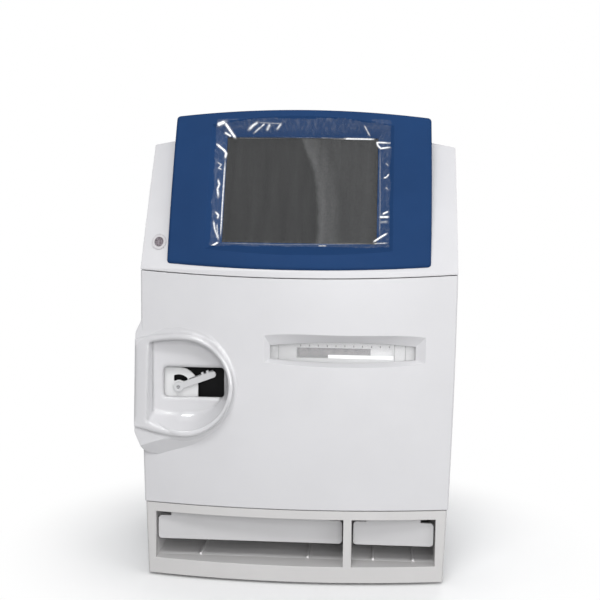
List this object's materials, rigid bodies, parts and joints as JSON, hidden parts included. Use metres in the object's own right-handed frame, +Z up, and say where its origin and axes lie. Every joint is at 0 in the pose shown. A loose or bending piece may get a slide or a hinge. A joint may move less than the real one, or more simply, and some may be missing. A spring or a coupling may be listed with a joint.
{
  "type": "electrolyte analyzer",
  "caption": "Bench electrolyte analyzer: curved white case, leaning touchscreen in a blue frame, hinged front door with a sampling dish and window, open reagent bays with swing flaps.",
  "frame": {"origin": "on the bench under the middle of the machine, at the feet's underside", "axes": "+Z up, -Y towards the operator, who faces the screen; +X to the operator's right"},
  "size_m": [0.3549, 0.3431, 0.5257],
  "materials": {
    "casing_white": "fine-grained moulded plastic, cool white",
    "fascia_white": "moulded plastic, warmer white",
    "flap_white": "smooth moulded plastic",
    "tray_white": "smooth moulded plastic",
    "display_blue": "deep blue moulded plastic, satin",
    "touch_glass": "anti-glare touch glass",
    "lcd_dark": "dark display module",
    "clear_film": "thin clear protective film",
    "clear_plastic": "clear moulded plastic",
    "lamp_collar": "grey collar",
    "lamp_lens": "unlit dark lens",
    "black_plastic": "black moulded plastic",
    "grey_plastic": "light grey moulded plastic",
    "module_white": "smooth moulded plastic",
    "electrode_body": "moulded electrode bodies",
    "lever_grey": "light grey moulded lever",
    "steel": "plain steel",
    "zinc_sheet": "pale grey painted sheet steel",
    "magnet": "black magnet block",
    "foot_rubber": "black rubber",
    "pump_tube": "silicone tube",
    "board_green": "glass-fibre circuit board",
    "screw_steel": "bright screw heads"
  },
  "bodies": {
    "casing": {"rear_cover": "casing_white", "upper_front_cover": "casing_white", "display_rear_housing": "display_blue", "display_bezel": "display_blue", "touch_glass": "touch_glass", "lcd_module": "lcd_dark", "screen_film": "clear_film", "lamp_collar": "lamp_collar", "status_lamp": "lamp_lens", "hinge_pins": "steel", "door_magnet": "magnet", "front_fascia": "fascia_white", "flap_rods": "steel", "left_bay_tray": "tray_white", "right_bay_tray": "tray_white", "reagent_needles": "steel", "base_plate": "zinc_sheet", "feet": "foot_rubber", "chassis_frame": "zinc_sheet", "sampler_case": "black_plastic", "sampler_plate": "grey_plastic", "lever_pin": "steel", "electrode_housing": "module_white", "electrodes": "electrode_body", "flow_cell": "clear_plastic", "cell_end_block": "clear_plastic", "pump_body": "black_plastic", "pump_tube": "pump_tube", "pump_motor": "steel", "rear_panel": "zinc_sheet", "power_inlet": "black_plastic", "switch_frame": "black_plastic", "serial_ports": "steel", "fan_frame": "black_plastic", "fan_guard": "screw_steel", "panel_screws": "screw_steel", "main_board": "board_green", "board_standoffs": "screw_steel", "power_supply": "zinc_sheet"},
    "door": {"front_door": "casing_white", "window_pane": "clear_plastic", "strike_plate": "steel"},
    "left_flap": {"left_bay_flap": "flap_white"},
    "right_flap": {"right_bay_flap": "flap_white"},
    "lever": {"sample_lever": "lever_grey", "sample_probe": "steel"},
    "rocker": {"power_rocker": "black_plastic"},
    "fan": {"fan_rotor": "black_plastic"},
    "pump_rotor": {"pump_rotor": "grey_plastic"},
    "roller_1": {"pump_roller_1": "module_white"},
    "roller_2": {"pump_roller_2": "module_white"},
    "roller_3": {"pump_roller_3": "module_white"}
  },
  "joints": [
    {"name": "door_hinge", "type": "hinge", "parent": "casing", "child": "door", "pos_m": [0.165, -0.138, 0.215], "axis": [0, 0, 1], "range_deg": [0, 100]},
    {"name": "left_flap_hinge", "type": "hinge", "parent": "casing", "child": "left_flap", "pos_m": [-0.0512, -0.145, 0.078], "axis": [1, 0, 0], "range_deg": [0, 80]},
    {"name": "right_flap_hinge", "type": "hinge", "parent": "casing", "child": "right_flap", "pos_m": [0.11, -0.145, 0.078], "axis": [1, 0, 0], "range_deg": [0, 80]},
    {"name": "lever_pivot", "type": "hinge", "parent": "casing", "child": "lever", "pos_m": [-0.1334, -0.1414, 0.2149], "axis": [0, -1, 0], "range_deg": [-28, 4.5]},
    {"name": "power_switch", "type": "hinge", "parent": "casing", "child": "rocker", "pos_m": [-0.036, 0.166, 0.096], "axis": [1, 0, 0], "range_deg": [0, 14]},
    {"name": "fan_spin", "type": "hinge", "parent": "casing", "child": "fan", "pos_m": [0.062, 0.156, 0.135], "axis": [0, 1, 0], "continuous": true},
    {"name": "pump_spin", "type": "hinge", "parent": "casing", "child": "pump_rotor", "pos_m": [0.075, -0.14, 0.165], "axis": [0, 1, 0], "continuous": true},
    {"name": "roller_1_spin", "type": "hinge", "parent": "pump_rotor", "child": "roller_1", "pos_m": [0.075, -0.1404, 0.1764], "axis": [0, 1, 0], "continuous": true},
    {"name": "roller_2_spin", "type": "hinge", "parent": "pump_rotor", "child": "roller_2", "pos_m": [0.06513, -0.1404, 0.1593], "axis": [0, 1, 0], "continuous": true},
    {"name": "roller_3_spin", "type": "hinge", "parent": "pump_rotor", "child": "roller_3", "pos_m": [0.08487, -0.1404, 0.1593], "axis": [0, 1, 0], "continuous": true}
  ],
  "couplings": [
    {"joint": "roller_1_spin", "follows": "pump_spin", "ratio": -3.5909},
    {"joint": "roller_2_spin", "follows": "pump_spin", "ratio": -3.5909},
    {"joint": "roller_3_spin", "follows": "pump_spin", "ratio": -3.5909}
  ]
}
